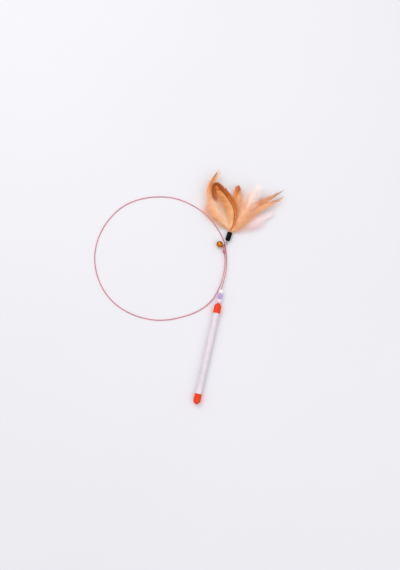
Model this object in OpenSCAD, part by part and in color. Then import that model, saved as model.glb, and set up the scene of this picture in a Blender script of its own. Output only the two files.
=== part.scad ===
// A cat teaser wand lying on a table. A plastic tube with a push-on cap at each end is the handle.
// A springy coated wire leaves the top cap through three beads, makes one wide loop and ends in a
// wound eye. The eye carries a jingle bell, and a steel link with a bundle of dyed feathers.
// The handle lies along Y with the wire towards +Y, Z is up, and the table is at Z zero.

/* [Handle] */
// Length of the handle over both caps
handle_length = 155; // [110:1:220]
// Outside diameter of the tube
tube_d = 9.6; // [8.5:0.1:11]
// Wall of the tube
tube_wall = 1; // [0.6:0.1:1.6]
// Length of a cap, dome included
cap_length = 15.5; // [12:0.5:22]
// Length of a cap's dome
cap_dome = 6; // [5:0.5:8]
// Wall of a cap's skirt
cap_wall = 0.55; // [0.4:0.05:1]
// Thickness of a cap at the tip of its dome
dome_wall = 1.2; // [0.8:0.1:1.8]
// How far the rolled lip of a cap stands proud
cap_lip = 0.3; // [0.1:0.05:0.6]
// Diameter of the crimped sleeve that stops the wire inside the top cap
stop_d = 3; // [2.4:0.1:3.6]
// Length of the crimped sleeve
stop_length = 5; // [3:0.5:8]

/* [Beads] */
// Diameter of a bead
bead_d = 7.2; // [6:0.1:8]
// Bore of a bead
bead_bore = 1.8; // [1.7:0.1:2.4]

/* [Wire] */
// Diameter of the coated wire
wire_d = 1.2; // [0.9:0.05:1.3]
// Inside diameter of the eye at the end of the wire
eye_bore = 3.6; // [3.2:0.1:4.2]
// Whole turns of wire wound below the eye
eye_turns = 3; // [2:1:3]

/* [Link] */
// Diameter of the steel wire of the link
link_wire = 0.8; // [0.6:0.05:0.9]
// Inside width of the link
link_gap = 2.2; // [2:0.1:2.6]
// Distance from the eye to the far bar of the link
link_reach = 7.9; // [7.4:0.1:10]

/* [Bell] */
// Diameter of the bell
bell_d = 10.2; // [9:0.1:10.6]
// Wall of the bell
bell_wall = 0.4; // [0.3:0.05:0.6]
// How far the seam between the halves stands proud
bell_seam = 0.2; // [0.1:0.05:0.3]
// Width of the crossed slots
slot_w = 0.9; // [0.6:0.1:1.4]
// Diameter of the holes at the ends of the slots
slot_hole_d = 1.9; // [1.5:0.1:2.4]
// Diameter of the loose pellet
pellet_d = 3.2; // [2.4:0.1:4]
// Diameter of the wire of the bell's shank
shank_wire = 0.8; // [0.6:0.05:0.9]
// Inside width of the shank
shank_gap = 2.2; // [2.1:0.1:2.6]

/* [Ferrule] */
// Outside diameter of the ferrule
ferrule_d = 7.7; // [7.4:0.1:8.4]
// Length of the ferrule
ferrule_length = 14.3; // [12:0.1:20]
// Wall of the ferrule
ferrule_wall = 0.8; // [0.5:0.05:0.9]
// Length of the ferrule's domed end
ferrule_dome = 3; // [2:0.1:3.8]
// Diameter of the steel wire of the ferrule's loop
loop_wire = 0.8; // [0.6:0.05:0.9]
// Inside height of the ferrule's loop
loop_gap = 1.6; // [1.5:0.1:2]

/* [Feathers] */
// Diameter of a quill where the ferrule holds it
quill_d = 1.2; // [1:0.05:1.3]
// Thickness of a vane along its shaft
vane_t = 0.9; // [0.6:0.1:1.2]
// Length of the forked feather on the right
right_length = 112; // [90:1:130]
// Length of the feather that curls over the top
curl_length = 110; // [90:1:120]
// Length of the tall forked feather on the left
tall_length = 116; // [100:1:130]
// Length of the short round feather in the middle
short_length = 78; // [65:1:85]
// Length of the pale down plume
down_length = 82; // [70:1:90]
// Length of the pink marabou plume
pink_length = 74; // [60:1:85]
// Length of the peach marabou plume
peach_length = 56; // [45:1:62]

/* [Hidden] */

round_fn = 64;
small_fn = 32;
// Steps in the quarter of an ellipse that shapes a dome
dome_steps = 10;
// How far a cut runs past the wall that it goes through
overrun = 1;
// Play between a hole and the wire or quill that sits in it
fit = 0.05;
// Play between pieces that hang in one another
play = 0.3;

// The middle of the part's box, seen from the tip of the top cap
origin_at = [5, 26.2, 0];

tube_r = tube_d / 2;
cap_bore_r = tube_r + fit;
cap_r = cap_bore_r + cap_wall;
tube_bore_r = tube_r - tube_wall;
// The handle lies on the lips of its caps
axis_z = cap_r + cap_lip;
wire_r = wire_d / 2;
bead_r = bead_d / 2;
// A bead is as long as its sphere between the flats that the bore leaves
bead_length = 2 * sqrt(pow(bead_r, 2) - pow(bead_bore / 2, 2));
// The sleeve seats where the inside of the dome closes to its diameter
inner_dome = cap_dome - dome_wall;
stop_front = -cap_dome + inner_dome * sqrt(1 - pow(stop_d / 2 / tube_bore_r, 2)) - fit;

// The wire's route from the sleeve to the neck of the eye, seen from the tip of the top cap
route = [[0, -5, axis_z], [0, 0, axis_z], [0, 23, axis_z], [0.4, 34, 5.6], [0.2, 52, 4.6],
         [-2.7, 70, 3.4], [-5.4, 79, 2.8], [-7.1, 84.3, 2.4], [-8.9, 89.1, 1.9],
         [-10.6, 93, 1.5], [-13.6, 98.4, 1.1], [-22, 109.5, 0.8], [-36, 123, 0.8],
         [-54, 135, 0.8], [-78, 144, 0.8], [-103, 147.5, 0.8], [-127, 144.5, 0.8],
         [-149, 137, 0.8], [-169, 125, 0.8], [-185, 108, 0.8], [-197, 85, 0.8],
         [-203, 60, 0.8], [-202.5, 35, 0.8], [-196, 13, 0.8], [-184, -8, 0.8],
         [-167, -25.5, 0.8], [-146, -38, 0.8], [-121, -45, 0.8], [-95, -46, 0.8],
         [-72, -41.5, 0.8], [-52, -33, 0.8], [-34, -22.5, 0.8], [-20, -10, 0.9],
         [-11.5, 2, 1.4], [-7.4, 11, 2.3], [-4.9, 20, 3.1], [-3, 31, 3.7], [-2.2, 46, 3.9],
         [-3.2, 60, 3.6], [-5.2, 70, 3.4], [-7.9, 77.8, 3.3], [-9.7, 83.5, 3.3]];
wire_sides = 8;
eye_sides = 6;
// Steps of the wire between two points of its route
route_steps = 2;
// Steps for measuring its gap to itself, and how many of them count as neighbours
check_steps = 8;
check_skip = 40;
route_end = route[len(route) - 1];
// Direction of the wire where it ends, and the direction to its right
end_u = unit(route_end - route[len(route) - 2]);
end_n = [end_u[1], -end_u[0], 0];

// The ferrule lies on the table, and the link and the middle of the eye are level with it
ferrule_r = ferrule_d / 2;
link_z = ferrule_r;
eye_r = (eye_bore + wire_d) / 2;
eye_neck = 0.3;
// The eye starts straight on from the wire for this far
eye_lead = 0.6;
// Angles on the eye, from its front, where the ring starts and ends at the neck
ring_start = 225;
ring_end = 495;
ring_step = 22.5;
// Steps in one turn of the winding, and its size
wound_steps = 12;
wound_gap = 0.15;
wound_r = wire_d + wound_gap;
turn_gap = 0.45;
wound_pitch = wire_d + turn_gap;
wound_start = -1;
// Points of the wire between the ring and the winding: along its end, and up
neck_points = [[0.25, 1.85], [-0.4, 1.62]];
eye_skip = 6;

// The link and the bell turn about the front of the eye, and the lure about the link's far bar
eye_front = route_end + (eye_neck + 2 * eye_r) * end_u;
link_turn = -24;
lure_turn = -5;
bell_turn = 75;
link_bow = (link_gap + link_wire) / 2;
link_near = wire_r + play + link_wire / 2;
loop_bow = (loop_gap + loop_wire) / 2;
loop_near = (link_wire + loop_wire) / 2 + play;
// Distance from the link's far bar to the tip of the ferrule
loop_leg = 2.4;
loop_foot = 0.8;
// Radius of the bends of the loop's and the shank's feet, as a share of the wire's radius
bend_share = 1.3;

bell_r = bell_d / 2;
seam_width = 0.25;
// The bell rests on the corner of its seam
bell_z = norm([bell_r + bell_seam, seam_width]);
// Distance from the front of the eye to the bell
bell_drop = 1.9;
bell_reach = bell_r + bell_drop;
shank_bow = (shank_gap + shank_wire) / 2;
shank_play = 0.7;
shank_far = bell_reach + wire_r + shank_play + shank_wire / 2;
shank_z = link_z + (link_wire + shank_wire) / 2 + play;
shank_foot = 0.7;
bell_tilt = asin((bell_z - shank_z) / bell_reach);
// Shares of the bell's radius: the reach of the slots and the place of their end holes
slot_reach_share = 0.72;
slot_hole_share = 0.7;
pellet_r = pellet_d / 2;
pellet_gap = 0.15;
pellet_drop = bell_r - bell_wall - pellet_r - pellet_gap;

// Seats of the quills in the glue: one in the middle and six round it
seat_ring = 1.95;
glue_recess = 1;
glue_start = 5.4;
// How deep a quill goes into the glue, and how far it runs straight out of the mouth
quill_depth = 7.5;
quill_out = 1.5;
// Steps of a feather between two rows of its table, and corners of its section
vane_steps = 3;
vane_sides = 8;
// How far the edges of a vane droop, as a share of their distance from the shaft
droop_share = 0.1;
tip_r = 0.2;

// Each row: place of the shaft right, forward and up from the mouth, then the vane's width on the
// left and on the right of the shaft, as shares of the feather's length
right_shares = [
    [0.036, 0.075, 0, 0.008, 0.008], [0.094, 0.196, 0.022, 0.054, 0.076],
    [0.163, 0.332, 0.032, 0.067, 0.085], [0.277, 0.473, 0.045, 0.077, 0.054],
    [0.411, 0.592, 0.047, 0.073, 0.073], [0.49, 0.67, 0.042, 0.06, 0.055],
    [0.551, 0.755, 0.029, 0.045, 0.045]];
curl_shares = [
    [0.006, 0.059, 0.038, 0.009, 0.009], [0.012, 0.114, 0.068, 0.05, 0.024],
    [-0.004, 0.2, 0.095, 0.1, 0.033], [-0.035, 0.286, 0.118, 0.114, 0.042],
    [-0.095, 0.365, 0.136, 0.109, 0.055], [-0.2, 0.448, 0.153, 0.118, 0.073],
    [-0.3, 0.498, 0.158, 0.086, 0.064], [-0.382, 0.542, 0.155, 0.04, 0.045],
    [-0.427, 0.524, 0.138, 0.024, 0.04], [-0.42, 0.451, 0.125, 0.025, 0.033],
    [-0.386, 0.377, 0.117, 0.002, 0.002]];
tall_shares = [
    [-0.034, 0.06, 0.022, 0.008, 0.008], [-0.12, 0.12, 0.05, 0.052, 0.031],
    [-0.26, 0.2, 0.072, 0.074, 0.052], [-0.375, 0.33, 0.085, 0.052, 0.06],
    [-0.425, 0.47, 0.09, 0.045, 0.06], [-0.42, 0.6, 0.086, 0.04, 0.05],
    [-0.4, 0.69, 0.076, 0.025, 0.035], [-0.375, 0.785, 0.06, 0.018, 0.02]];
// Corners of the notches that split the tips of the two forked feathers, as shares of their length
right_notch_shares = [[0.43, 0.6], [0.547, 0.829], [0.628, 0.774]];
tall_notch_shares = [[-0.395, 0.68], [-0.391, 0.81], [-0.352, 0.8]];
short_shares = [
    [0.008, 0.1, 0.021, 0.01, 0.01], [0.021, 0.25, 0.062, 0.079, 0.103],
    [0.015, 0.421, 0.081, 0.121, 0.147], [-0.029, 0.579, 0.09, 0.11, 0.128],
    [-0.085, 0.721, 0.094, 0.079, 0.082], [-0.115, 0.859, 0.085, 0.06, 0.079],
    [-0.1, 0.936, 0.068, 0.031, 0.05], [-0.081, 0.955, 0.058, 0.003, 0.003]];
down_shares = [
    [0.05, 0.1, 0.041, 0.009, 0.009], [0.105, 0.268, 0.1, 0.044, 0.054],
    [0.151, 0.457, 0.132, 0.091, 0.085], [0.201, 0.695, 0.139, 0.122, 0.11],
    [0.232, 0.866, 0.127, 0.085, 0.085], [0.25, 0.976, 0.11, 0.012, 0.012]];
pink_shares = [
    [0.045, 0.103, -0.027, 0.011, 0.011], [0.17, 0.203, -0.02, 0.081, 0.101],
    [0.359, 0.335, -0.012, 0.128, 0.149], [0.547, 0.486, -0.012, 0.116, 0.142],
    [0.716, 0.655, -0.015, 0.011, 0.011]];
peach_shares = [
    [-0.08, 0.118, -0.012, 0.012, 0.012], [-0.25, 0.223, -0.002, 0.107, 0.1],
    [-0.5, 0.348, 0.005, 0.161, 0.154], [-0.688, 0.438, 0.005, 0.129, 0.125],
    [-0.83, 0.509, 0.004, 0.011, 0.011]];
plume_t = 2.4;

function unit(v) = v / norm(v);
function flat(v) = [v[0], v[1], v[2]];

// A point on a smooth curve through the rows p, between row i and row i + 1
function on_curve(p, i, t) =
    let (a = p[max(i - 1, 0)], b = p[i], c = p[i + 1], d = p[min(i + 2, len(p) - 1)])
    (2 * b + (c - a) * t + (2 * a - 5 * b + 4 * c - d) * pow(t, 2)
     + (3 * b - a - 3 * c + d) * pow(t, 3)) / 2;
function curve(p, steps) =
    concat([for (i = [0 : len(p) - 2]) for (s = [0 : steps - 1]) on_curve(p, i, s / steps)],
           [p[len(p) - 1]]);
function along(p, i) = unit(p[min(i + 1, len(p) - 1)] - p[max(i - 1, 0)]);
function square_to(v, t) = unit(v - (v * t) * t);
// A side direction at each point, carried along the path without twisting
function sides_along(p, first) =
    [for (i = 0, s = square_to(first, along(p, 0)); i < len(p);
          i = i + 1, s = i < len(p) ? square_to(s, along(p, i)) : s) s];
// The least distance between two stretches of one tube that are not neighbours
function least_gap(p, skip, d) =
    min([for (i = [0 : len(p) - skip - 2]) for (j = [i + skip : len(p) - 1]) norm(p[i] - p[j])]) - d;

// Closes rings of n corners each into one solid of triangles
module loft(rings) {
    n = len(rings[0]);
    last = len(rings) - 1;
    walls = [for (r = [0 : last - 1]) for (k = [0 : n - 1]) let (m = (k + 1) % n)
             each [[r * n + k, r * n + n + m, r * n + m], [r * n + k, r * n + n + k, r * n + n + m]]];
    start_cap = [for (k = [1 : n - 2]) [0, k, k + 1]];
    end_cap = [for (k = [1 : n - 2]) [last * n, last * n + k + 1, last * n + k]];
    polyhedron(points = [for (ring = rings) each ring], faces = concat(walls, start_cap, end_cap));
}

// A round tube along a list of points
module swept_tube(p, r, n, first) {
    side = sides_along(p, first);
    loft([for (i = [0 : len(p) - 1]) let (up = cross(side[i], along(p, i)))
          [for (k = [0 : n - 1]) p[i] + r * (cos(360 * k / n) * side[i] + sin(360 * k / n) * up)]]);
}

module from_cap_tip() {
    translate(-origin_at) children();
}

// Turns a shape that stands on Z so that it points along +Y
module along_y() {
    rotate([-90, 0, 0]) children();
}

module at_eye_front(turn) {
    from_cap_tip() translate([eye_front[0], eye_front[1], 0]) rotate([0, 0, turn]) children();
}

// Places a shape on the ferrule's axis, with Y zero at the tip of the ferrule
module at_ferrule_tip() {
    at_eye_front(link_turn) translate([0, link_reach, link_z])
        rotate([0, 0, lure_turn - link_turn]) translate([0, loop_leg, 0]) children();
}

// Places a shape at the middle of the bell, with +Y towards the eye
module at_bell() {
    at_eye_front(bell_turn) translate([0, bell_reach, bell_z])
        rotate([-bell_tilt, 0, 180]) children();
}

// A quarter of an ellipse from its base out to its tip
function dome_points(r, tip_r, h) =
    [for (s = [0 : dome_steps]) let (a = acos(tip_r / r) * s / dome_steps)
     [r * cos(a), h * sin(a) / sin(acos(tip_r / r))]];

// A cap that stands on its mouth: skirt, rolled lip, and a dome with an even wall
module cap(hole_r) {
    skirt = cap_length - cap_dome;
    outer = [for (p = dome_points(cap_r, hole_r, cap_dome)) [p[0], p[1] + skirt]];
    inner = [for (p = dome_points(tube_bore_r, hole_r, inner_dome)) [p[0], p[1] + skirt]];
    lip = [for (s = [0 : dome_steps]) let (a = 180 * s / dome_steps - 90)
           [cap_r + cap_lip * cos(a), cap_lip * (1 + sin(a))]];
    rotate_extrude($fn = round_fn)
        polygon(concat([[cap_bore_r, 0]], lip, outer, [for (i = [len(inner) - 1 : -1 : 0]) inner[i]],
                       [[cap_bore_r, skirt]]));
}

module handle_tube() {
    tube_length = handle_length - 2 * cap_dome;
    color([0.95, 0.95, 0.97]) from_cap_tip() translate([0, cap_dome - handle_length, axis_z]) along_y()
        difference() {
            cylinder(h = tube_length, r = tube_r, $fn = round_fn);
            translate([0, 0, -overrun])
                cylinder(h = tube_length + 2 * overrun, r = tube_bore_r, $fn = round_fn);
        }
}

module top_cap() {
    color([0.95, 0.27, 0.06]) from_cap_tip() translate([0, -cap_length, axis_z]) along_y()
        cap(wire_r + fit);
}

module end_cap() {
    color([0.95, 0.27, 0.06]) from_cap_tip() translate([0, cap_length - handle_length, axis_z])
        rotate([90, 0, 0]) cap(0);
}

module wire_stop() {
    color([0.7, 0.7, 0.72]) from_cap_tip() translate([0, stop_front - stop_length, axis_z]) along_y()
        difference() {
            cylinder(h = stop_length, r = stop_d / 2, $fn = small_fn);
            translate([0, 0, -overrun])
                cylinder(h = stop_length + 2 * overrun, r = wire_r + fit, $fn = small_fn);
        }
}

// The bead that stands in the given place of the stack, counted from zero at the cap
module bead(place) {
    from_cap_tip() translate([0, play + bead_length / 2 + place * (bead_length + play), axis_z])
        along_y() difference() {
            sphere(r = bead_r, $fn = round_fn);
            cylinder(h = bead_d + overrun, r = bead_bore / 2, center = true, $fn = small_fn);
        }
}

module bead_pink() {
    color([0.97, 0.84, 0.9]) bead(0);
}

module bead_lilac() {
    color([0.72, 0.6, 0.88]) bead(1);
}

module bead_white() {
    color([0.98, 0.96, 0.98]) bead(2);
}

wire_path = concat([[0, stop_front - stop_length, axis_z]], curve(route, route_steps));
echo(wire_least_gap = least_gap(curve(route, check_steps), check_skip, wire_d));

module wire() {
    color([0.86, 0.5, 0.58]) from_cap_tip() swept_tube(wire_path, wire_r, wire_sides, [1, 0, 0]);
}

// A point of the eye from its distance along the wire's end, to the right of it, and above it
function at_eye(a, right, up) = route_end + a * end_u + right * end_n + [0, 0, up];

eye_ring = [for (a = [ring_start : ring_step : ring_end])
            at_eye(eye_neck + eye_r * (1 + cos(a)), 0, link_z - route_end[2] + eye_r * sin(a))];
eye_top = [for (p = neck_points) at_eye(p[0], 0, p[1])];
eye_winding = [for (s = [0 : eye_turns * wound_steps]) let (a = 360 * s / wound_steps)
               at_eye(wound_start - wound_pitch * s / wound_steps, -wound_r * sin(a),
                      wound_r * cos(a))];
eye_lead_end = route_end + eye_lead * along(wire_path, len(wire_path) - 1);
eye_path = concat([route_end, eye_lead_end], eye_ring, eye_top, eye_winding);
echo(eye_least_gap = least_gap(eye_path, eye_skip, wire_d));

module wire_eye() {
    color([0.84, 0.42, 0.5]) from_cap_tip() swept_tube(eye_path, wire_r, eye_sides, end_n);
}

// Half a ring of wire, bulging towards -Y
module bow(bow_r, r) {
    rotate([0, 0, 180]) rotate_extrude(angle = 180, $fn = round_fn) translate([bow_r, 0])
        circle(r = r, $fn = small_fn);
}

// A U of round wire that bulges towards -Y, with its legs bent outwards into feet
module staple(half_width, r, leg, foot) {
    bend = bend_share * r;
    bow(half_width, r);
    for (turn = [0, 180])
        rotate([0, turn, 0]) translate([half_width, 0, 0]) {
            along_y() cylinder(h = leg - bend, r = r, $fn = small_fn);
            translate([bend, leg - bend, 0]) {
                rotate([0, 0, 90]) rotate_extrude(angle = 90, $fn = small_fn) translate([bend, 0])
                    circle(r = r, $fn = small_fn);
                translate([0, bend, 0]) rotate([0, 90, 0])
                    cylinder(h = foot - bend, r = r, $fn = small_fn);
            }
        }
}

module link() {
    r = link_wire / 2;
    near_bow = link_bow - link_near;
    far_bow = link_reach - link_bow;
    color([0.25, 0.25, 0.27]) at_eye_front(link_turn) translate([0, 0, link_z]) {
        translate([0, near_bow, 0]) bow(link_bow, r);
        translate([0, far_bow, 0]) rotate([0, 0, 180]) bow(link_bow, r);
        for (side = [-1, 1])
            translate([side * link_bow, near_bow, 0]) along_y()
                cylinder(h = far_bow - near_bow, r = r, $fn = small_fn);
    }
}

// Half of the bell's shell, bulging towards +Z, with its half of the seam
module half_shell() {
    outer = dome_points(bell_r, 0, bell_r);
    inner = dome_points(bell_r - bell_wall, 0, bell_r - bell_wall);
    rotate_extrude($fn = round_fn)
        polygon(concat([[bell_r + bell_seam, 0], [bell_r + bell_seam, seam_width],
                        [sqrt(pow(bell_r, 2) - pow(seam_width, 2)), seam_width]],
                       [for (i = [1 : dome_steps]) outer[i]],
                       [for (i = [dome_steps : -1 : 0]) inner[i]]));
}

module bell_front_half() {
    color([0.83, 0.6, 0.25]) at_bell() along_y() difference() {
        half_shell();
        for (side = [-1, 1])
            translate([side * shank_bow, 0, 0])
                cylinder(h = bell_r + overrun, r = shank_wire / 2 + fit, $fn = small_fn);
    }
}

module bell_back_half() {
    reach = slot_reach_share * bell_r;
    color([0.83, 0.6, 0.25]) at_bell() rotate([90, 0, 0]) difference() {
        half_shell();
        for (turn = [0, 90])
            rotate([0, 0, turn]) {
                translate([-reach, -slot_w / 2, seam_width]) cube([2 * reach, slot_w, bell_r]);
                for (side = [-1, 1])
                    translate([side * slot_hole_share * bell_r, 0, seam_width])
                        cylinder(h = bell_r, r = slot_hole_d / 2, $fn = small_fn);
            }
    }
}

module bell_shank() {
    leg_end = sqrt(pow(bell_r - bell_wall, 2) - pow(shank_bow + shank_foot, 2)) - shank_wire;
    bow_y = shank_far - shank_bow;
    color([0.78, 0.56, 0.24]) at_bell() translate([0, bow_y, 0]) rotate([0, 0, 180])
        staple(shank_bow, shank_wire / 2, bow_y - leg_end, shank_foot);
}

module bell_pellet() {
    color([0.75, 0.75, 0.77]) at_bell() translate([0, 0, -pellet_drop])
        sphere(r = pellet_r, $fn = small_fn);
}

module ferrule() {
    outer = dome_points(ferrule_r, 0, ferrule_dome);
    inner_r = ferrule_r - ferrule_wall;
    inner = dome_points(inner_r, 0, ferrule_dome - ferrule_wall);
    body = ferrule_length - ferrule_dome;
    mouth = [for (s = [0 : dome_steps]) let (a = 180 * s / dome_steps)
             [inner_r + ferrule_wall / 2 * (1 - cos(a)), ferrule_wall / 2 * (1 - sin(a))]];
    color([0.03, 0.03, 0.04]) at_ferrule_tip() difference() {
        translate([0, ferrule_length, 0]) rotate([90, 0, 0]) rotate_extrude($fn = round_fn)
            polygon(concat(mouth, [for (p = outer) [p[0], p[1] + body]],
                           [for (i = [dome_steps : -1 : 0]) [inner[i][0], inner[i][1] + body]]));
        for (side = [-1, 1])
            translate([0, -overrun, side * loop_bow]) along_y()
                cylinder(h = ferrule_dome + overrun, r = loop_wire / 2 + fit, $fn = small_fn);
    }
}

module ferrule_loop() {
    // The feet are bent outwards behind the end wall, where the dome leaves room for them
    leg_end = ferrule_wall + loop_wire + loop_wire / 2;
    bow_y = loop_bow - loop_near - loop_leg;
    color([0.6, 0.6, 0.62]) at_ferrule_tip() rotate([0, 90, 0]) translate([0, bow_y, 0])
        staple(loop_bow, loop_wire / 2, leg_end - bow_y, loop_foot);
}

// Where the quill with the given number crosses the mouth, right and up from its middle
function seat(number) =
    number == 0 ? [0, 0] : seat_ring * [cos(60 * number + 30), sin(60 * number + 30)];

module glue_plug() {
    length = ferrule_length - glue_start - glue_recess;
    color([0.9, 0.85, 0.7]) at_ferrule_tip() difference() {
        translate([0, glue_start, 0]) along_y()
            cylinder(h = length, r = ferrule_r - ferrule_wall, $fn = round_fn);
        for (number = [0 : 6])
            translate([seat(number)[0], ferrule_length - quill_depth - fit, seat(number)[1]]) along_y()
                cylinder(h = quill_depth + overrun, r = quill_d / 2 + fit, $fn = small_fn);
    }
}

// One section of a feather: row holds the shaft's place, the widths and the half thickness
function vane_section(row, t) =
    let (side = unit(cross(t, [0, 0, 1])), up = cross(side, t))
    [for (k = [0 : vane_sides - 1])
     let (a = 360 * k / vane_sides, w = cos(a) < 0 ? row[3] : row[4], x = w * cos(a),
          sag = max(w - quill_d, 0) / max(w, tip_r) * droop_share * abs(x))
     flat(row) + x * side + (row[5] * sin(a) - sag) * up];

module vane(rows) {
    fine = curve(rows, vane_steps);
    path = [for (row = fine) flat(row)];
    loft([for (i = [0 : len(fine) - 1]) vane_section(fine[i], along(path, i))]);
}

function vane_rows(shares, length, t) =
    [for (i = [0 : len(shares) - 1]) let (s = shares[i], end = i == len(shares) - 1)
     concat([for (v = s) v * length], [end ? tip_r : t / 2])];

// A feather in its seat: the quill, then the rows of its table
module feather(number, shares, length, t) {
    q = quill_d / 2;
    at = seat(number);
    quill = [for (y = [-quill_depth, -quill_depth / 2, 0, quill_out]) [at[0], y, at[1], q, q, q]];
    vane(concat(quill, vane_rows(shares, length, t)));
}

module at_mouth() {
    at_ferrule_tip() translate([0, ferrule_length, 0]) children();
}

// Cuts an upright notch into the tip of a feather
module notched(shares, length) {
    difference() {
        children();
        linear_extrude(height = length, center = true) polygon(shares * length);
    }
}

module feather_right() {
    color([0.93, 0.6, 0.4]) at_mouth() notched(right_notch_shares, right_length)
        feather(5, right_shares, right_length, vane_t);
}

module feather_curled() {
    color([0.75, 0.42, 0.18]) at_mouth() feather(1, curl_shares, curl_length, vane_t);
}

module feather_tall() {
    color([0.96, 0.62, 0.36]) at_mouth() notched(tall_notch_shares, tall_length)
        feather(2, tall_shares, tall_length, vane_t);
}

module feather_short() {
    color([0.98, 0.68, 0.45]) at_mouth() feather(0, short_shares, short_length, vane_t);
}

module plume_down() {
    color([0.98, 0.88, 0.84]) at_mouth() feather(6, down_shares, down_length, vane_t);
}

module plume_pink() {
    color([0.98, 0.82, 0.87]) at_mouth() feather(4, pink_shares, pink_length, plume_t);
}

module plume_peach() {
    color([0.99, 0.78, 0.68]) at_mouth() feather(3, peach_shares, peach_length, plume_t);
}

handle_tube();
top_cap();
end_cap();
wire_stop();
bead_pink();
bead_lilac();
bead_white();
wire();
wire_eye();
link();
bell_front_half();
bell_back_half();
bell_shank();
bell_pellet();
ferrule();
ferrule_loop();
glue_plug();
feather_right();
feather_curled();
feather_tall();
feather_short();
plume_down();
plume_pink();
plume_peach();
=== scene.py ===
import math
import random
from bisect import bisect_right

import bpy
from bpy.props import FloatProperty, FloatVectorProperty, IntProperty, PointerProperty
from bpy.types import NodeSocket, Operator, Panel, PropertyGroup, Scene
from mathutils import Matrix, Vector


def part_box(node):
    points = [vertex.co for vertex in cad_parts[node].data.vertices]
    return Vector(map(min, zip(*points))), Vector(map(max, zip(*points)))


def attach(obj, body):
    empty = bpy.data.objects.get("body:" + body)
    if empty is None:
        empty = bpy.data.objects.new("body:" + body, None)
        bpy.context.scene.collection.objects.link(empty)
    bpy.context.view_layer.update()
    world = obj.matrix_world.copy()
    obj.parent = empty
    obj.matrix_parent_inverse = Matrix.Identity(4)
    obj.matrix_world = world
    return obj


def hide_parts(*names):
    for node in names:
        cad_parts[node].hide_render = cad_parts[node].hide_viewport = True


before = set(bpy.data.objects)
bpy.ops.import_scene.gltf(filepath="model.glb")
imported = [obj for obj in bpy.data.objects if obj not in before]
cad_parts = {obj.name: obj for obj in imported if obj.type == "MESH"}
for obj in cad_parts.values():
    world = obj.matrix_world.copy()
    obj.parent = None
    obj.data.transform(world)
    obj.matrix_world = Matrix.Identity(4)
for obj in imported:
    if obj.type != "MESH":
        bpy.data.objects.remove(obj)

# The look of a cat teaser wand that lies on a table: capped handle, beads on a looped wire, bell,
# link and feathers. The frame and the materials are in metres. The wire's route, the eye and the
# feathers are worked out in millimetres and turned into metres as they are placed.

bl_info = {
    "name": "Cat Teaser Wand",
    "version": (1, 0, 0),
    "blender": (4, 5, 0),
    "location": "3D View > Sidebar > Teaser Wand",
    "description": "Builds the visible pieces of a cat teaser wand on its packed model",
    "category": "Object",
}

MM = 0.001
UP = Vector((0, 0, 1))
# The frame's origin from the tip of the top cap, in metres
TIP_OFFSET = Vector((5, 26.2, 0)) * MM
# The height of the handle's axis above the table, in millimetres
AXIS_Z = 5.7


def paint(red, green, blue):
    """Turns a screen colour from 0 to 255 into the shader's scale."""
    def scale(value):
        value /= 255
        return value / 12.92 if value <= 0.04045 else ((value + 0.055) / 1.055) ** 2.4
    return (scale(red), scale(green), scale(blue))


def shade(colour, factor):
    return tuple(min(1.0, channel * factor) for channel in colour)


def tint(name, description, red, green, blue):
    """A colour setting with a screen colour as its default."""
    return FloatVectorProperty(name=name, description=description, size=3, min=0, max=1,
                               subtype="COLOR", default=paint(red, green, blue))


def length(name, description, millimetres, least=0.05, most=1000):
    """A length setting."""
    return FloatProperty(name=name, description=description, default=millimetres * MM,
                         min=least * MM, max=most * MM, unit="LENGTH", subtype="DISTANCE")


def number(name, description, default, least, most, subtype="NONE"):
    """A setting that isn't a length."""
    return FloatProperty(name=name, description=description, default=default, min=least, max=most,
                         subtype=subtype)


# Settings

class HandleLook(PropertyGroup):
    tube: tint("Tube", "Colour of the milky tube", 229, 218, 228)
    cap: tint("Caps", "Colour of the soft caps", 240, 60, 4)
    cap_grain: length("Cap grain", "Size of the mottling on the caps", 1.6)


class BeadLook(PropertyGroup):
    pink: tint("First bead", "Colour of the bead next to the cap", 250, 219, 240)
    lilac: tint("Second bead", "Colour of the middle bead", 190, 156, 228)
    white: tint("Third bead", "Colour of the outer bead", 250, 243, 250)


class WireLook(PropertyGroup):
    diameter: length("Diameter", "Diameter of the coated wire", 1.2, 0.6, 1.4)
    coat: tint("Coating", "Colour of the thin vinyl coating", 214, 100, 116)


class MetalLook(PropertyGroup):
    gold: tint("Bell", "Colour of the lacquered bell", 208, 124, 24)
    steel: tint("Steel", "Colour of the link and the loop", 120, 120, 126)
    plain: tint("Pellet", "Colour of the pellet and the sleeve", 176, 176, 180)


class LureLook(PropertyGroup):
    ferrule: tint("Ferrule", "Colour of the glossy ferrule", 5, 5, 6)
    glue: tint("Glue", "Colour of the set glue", 214, 196, 150)
    barbs: IntProperty(name="Barbs", description="Barbs on each side of a feather", default=380,
                       min=50, max=1500)
    barb_width: length("Barb width", "Width of a barb at its root", 0.4, 0.05, 1)
    fluff: IntProperty(name="Fluff", description="Strands in a marabou plume", default=1100,
                       min=50, max=4000)
    fluff_width: length("Fluff width", "Width of a strand of fluff", 0.28, 0.05, 1)
    seed: IntProperty(name="Seed", description="Changes how the barbs are ruffled", default=7,
                      min=0, max=1000)


class StageLook(PropertyGroup):
    floor: tint("Floor", "Colour of the table", 230, 229, 234)
    lens: number("Lens", "Focal length of the camera", 50, 20, 200, "DISTANCE_CAMERA")
    distance: length("Distance", "From the camera to the table", 1211.25, 300, 5000)
    elevation: number("Elevation", "Angle of the view above the table", math.radians(80), 0, 1.57, "ANGLE")
    lean: number("Lean", "How far the handle leans to the right in the view", math.radians(12.64),
                 -3.14, 3.14, "ANGLE")
    key: number("Key light", "Power of the soft key light in watts", 6.6, 0, 100)
    sky: number("Sky", "Brightness of the room round the table", 1.0, 0, 3)
    haze: number("Backdrop", "Brightness of the backdrop, as the table's far end", 0.87, 0, 1)


# Finishes

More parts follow.
